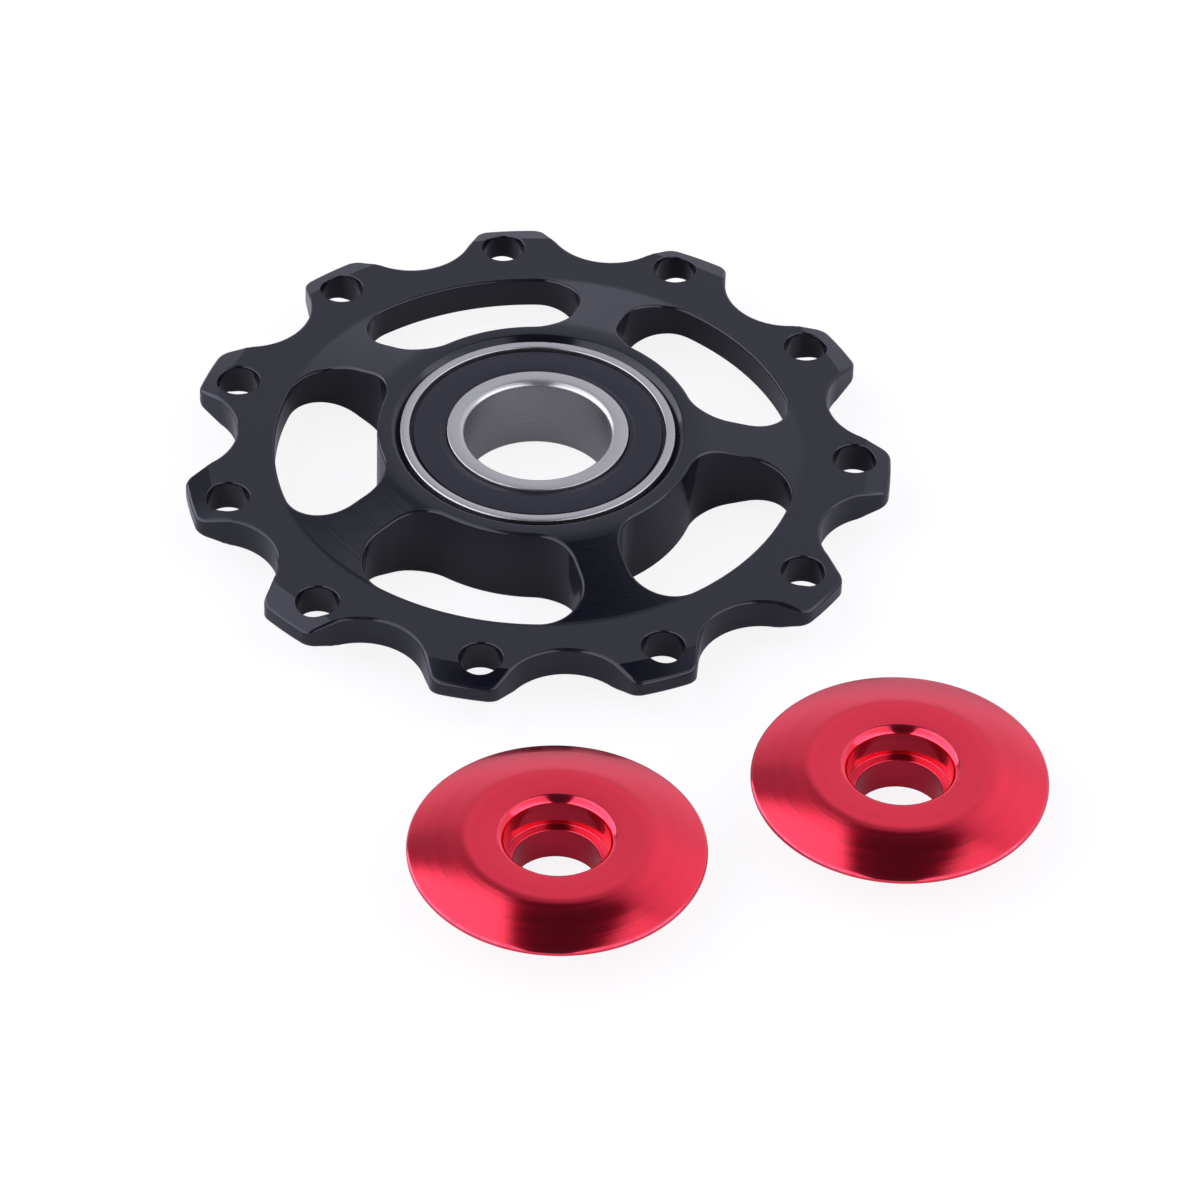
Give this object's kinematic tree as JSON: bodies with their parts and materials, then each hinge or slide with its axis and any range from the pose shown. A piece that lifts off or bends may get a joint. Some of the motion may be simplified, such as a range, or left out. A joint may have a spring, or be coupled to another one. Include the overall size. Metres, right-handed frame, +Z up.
{
  "type": "derailleur jockey wheel",
  "caption": "Toothed bicycle jockey wheel with coned spokes and a sealed ball bearing in its hub, lying flat beside its pair of turned bevelled covers.",
  "frame": {"origin": "on the wheel's axis, halfway through its thickness", "axes": "+Z up along the wheel's axis, +X through the middle of the first tooth"},
  "size_m": [0.0536, 0.0659, 0.0052],
  "materials": {
    "black_aluminium": "black anodised, satin",
    "red_aluminium": "red anodised, turned",
    "ring_steel": "ground steel",
    "ball_steel": "polished steel",
    "seal_rubber": "matt black rubber",
    "cage_nylon": "natural nylon"
  },
  "bodies": {
    "fixed_set": {"bearing_inner_ring": "ring_steel", "front_cover": "red_aluminium", "side_cover": "red_aluminium"},
    "wheel": {"toothed_wheel": "black_aluminium", "bearing_outer_ring": "ring_steel", "upper_seal": "seal_rubber", "lower_seal": "seal_rubber"},
    "cage": {"ball_cage": "cage_nylon"},
    "ball_1": {"ball_1": "ball_steel"},
    "ball_2": {"ball_2": "ball_steel"},
    "ball_3": {"ball_3": "ball_steel"},
    "ball_4": {"ball_4": "ball_steel"},
    "ball_5": {"ball_5": "ball_steel"},
    "ball_6": {"ball_6": "ball_steel"},
    "ball_7": {"ball_7": "ball_steel"}
  },
  "joints": [
    {"name": "wheel_spin", "type": "hinge", "parent": "fixed_set", "child": "wheel", "pos_m": [0, 0, 0], "axis": [0, 0, 1], "continuous": true},
    {"name": "cage_spin", "type": "hinge", "parent": "fixed_set", "child": "cage", "pos_m": [0, 0, 0], "axis": [0, 0, 1], "continuous": true},
    {"name": "ball_1_roll", "type": "hinge", "parent": "cage", "child": "ball_1", "pos_m": [0.0065, 0, 0], "axis": [0, 0, 1], "continuous": true},
    {"name": "ball_2_roll", "type": "hinge", "parent": "cage", "child": "ball_2", "pos_m": [0.00405, 0.00508, 0], "axis": [0, 0, 1], "continuous": true},
    {"name": "ball_3_roll", "type": "hinge", "parent": "cage", "child": "ball_3", "pos_m": [-0.00145, 0.00634, 0], "axis": [0, 0, 1], "continuous": true},
    {"name": "ball_4_roll", "type": "hinge", "parent": "cage", "child": "ball_4", "pos_m": [-0.00586, 0.00282, 0], "axis": [0, 0, 1], "continuous": true},
    {"name": "ball_5_roll", "type": "hinge", "parent": "cage", "child": "ball_5", "pos_m": [-0.00586, -0.00282, 0], "axis": [0, 0, 1], "continuous": true},
    {"name": "ball_6_roll", "type": "hinge", "parent": "cage", "child": "ball_6", "pos_m": [-0.00145, -0.00634, 0], "axis": [0, 0, 1], "continuous": true},
    {"name": "ball_7_roll", "type": "hinge", "parent": "cage", "child": "ball_7", "pos_m": [0.00405, -0.00508, 0], "axis": [0, 0, 1], "continuous": true}
  ],
  "couplings": [
    {"joint": "cage_spin", "follows": "wheel_spin", "ratio": 0.59158},
    {"joint": "ball_1_roll", "follows": "wheel_spin", "ratio": 2.6384},
    {"joint": "ball_2_roll", "follows": "wheel_spin", "ratio": 2.6384},
    {"joint": "ball_3_roll", "follows": "wheel_spin", "ratio": 2.6384},
    {"joint": "ball_4_roll", "follows": "wheel_spin", "ratio": 2.6384},
    {"joint": "ball_5_roll", "follows": "wheel_spin", "ratio": 2.6384},
    {"joint": "ball_6_roll", "follows": "wheel_spin", "ratio": 2.6384},
    {"joint": "ball_7_roll", "follows": "wheel_spin", "ratio": 2.6384}
  ]
}
